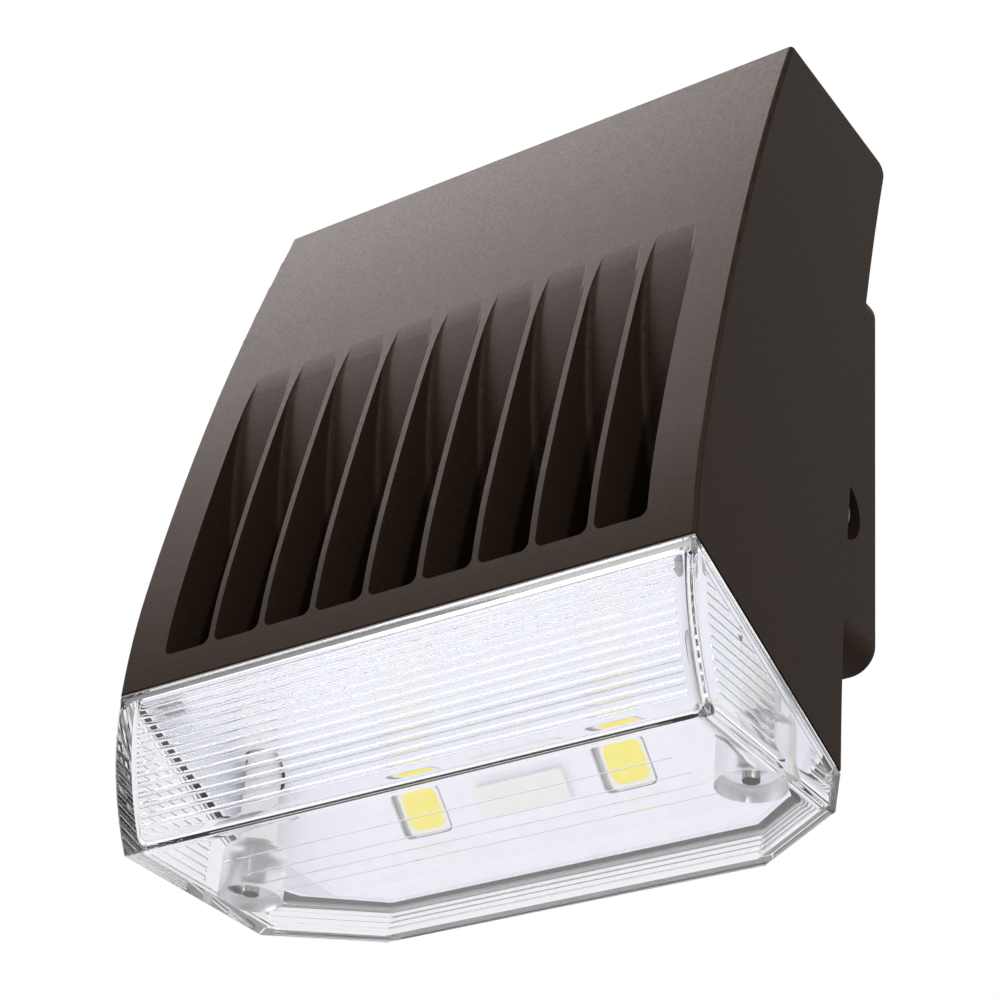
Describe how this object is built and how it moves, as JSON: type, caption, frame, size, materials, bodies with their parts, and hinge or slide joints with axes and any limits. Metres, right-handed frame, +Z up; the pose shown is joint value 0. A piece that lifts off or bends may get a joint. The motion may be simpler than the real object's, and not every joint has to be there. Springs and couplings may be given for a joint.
{
  "type": "wall pack light",
  "caption": "Bronze cutoff wall pack light with a slotted sloping housing, a ribbed clear lens below it and a hinged wall box behind.",
  "frame": {"origin": "centre of the back box's mounting face, on the wall plane", "axes": "+Z up the wall, +Y into the wall, +X to the right of a viewer who faces the light"},
  "size_m": [0.162, 0.092, 0.2025],
  "materials": {
    "bronze_powder_coat": "fine speckled semi-gloss",
    "clear_acrylic": "clear, moulded ribs",
    "white_coat": "satin white",
    "white_plastic": "satin",
    "phosphor": "satin yellow",
    "board_white": "white solder mask",
    "board_green": "green solder mask",
    "silicone_grey": "matte",
    "foam_black": "matte foam",
    "thermal_grey": "matte",
    "stainless": "machined",
    "bronze_screw": "satin",
    "green_screw": "zinc, green",
    "driver_aluminium": "satin",
    "component_dark": "moulded",
    "wire_black": "PVC",
    "connector_orange": "moulded"
  },
  "bodies": {
    "wall_box": {"back_box": "bronze_powder_coat", "wall_gasket": "foam_black", "hinge_pins": "stainless", "ground_screw": "green_screw"},
    "door": {"housing_front": "bronze_powder_coat", "housing_frame": "bronze_powder_coat", "lamp_hood": "bronze_powder_coat", "door_gasket": "silicone_grey", "clamp_bracket_right": "stainless", "clamp_bracket_left": "stainless", "bracket_screws": "stainless", "refractive_lens": "clear_acrylic", "lens_gasket": "silicone_grey", "lens_screws": "stainless", "lens_screw_seals": "foam_black", "lens_spacers": "white_plastic", "reflector": "white_coat", "reflector_screws": "stainless", "led_board": "board_white", "thermal_pads": "thermal_grey", "board_screws": "stainless", "led_packages": "white_plastic", "led_phosphors": "phosphor", "wire_cover": "white_plastic", "driver_case": "driver_aluminium", "driver_cover": "driver_aluminium", "driver_board": "board_green", "driver_components": "component_dark", "driver_screws": "stainless", "supply_leads": "wire_black", "wire_connectors": "connector_orange", "led_leads": "wire_black", "lead_grommet": "foam_black"},
    "screw_right": {"side_screw_right": "bronze_screw", "side_clip_right": "stainless"},
    "screw_left": {"side_screw_left": "bronze_screw", "side_clip_left": "stainless"},
    "nut_right": {"clamp_nut_right": "stainless"},
    "nut_left": {"clamp_nut_left": "stainless"}
  },
  "joints": [
    {"name": "door_swing", "type": "hinge", "parent": "wall_box", "child": "door", "pos_m": [0, -0.0145, 0.0805], "axis": [-1, 0, 0], "range_deg": [0, 75]},
    {"name": "screw_right_turn", "type": "hinge", "parent": "wall_box", "child": "screw_right", "pos_m": [0.0753, -0.0175, -0.018], "axis": [1, 0, 0], "range_deg": [0, 1800]},
    {"name": "nut_right_slide", "type": "slide", "parent": "wall_box", "child": "nut_right", "axis": [-1, 0, 0], "range_m": [0, 0.004]},
    {"name": "screw_left_turn", "type": "hinge", "parent": "wall_box", "child": "screw_left", "pos_m": [-0.0753, -0.0175, -0.018], "axis": [-1, 0, 0], "range_deg": [0, 1800]},
    {"name": "nut_left_slide", "type": "slide", "parent": "wall_box", "child": "nut_left", "axis": [1, 0, 0], "range_m": [0, 0.004]}
  ],
  "couplings": [
    {"joint": "screw_right_turn", "follows": "nut_right_slide", "rad_per_m": 7854},
    {"joint": "screw_left_turn", "follows": "nut_left_slide", "rad_per_m": 7854}
  ]
}
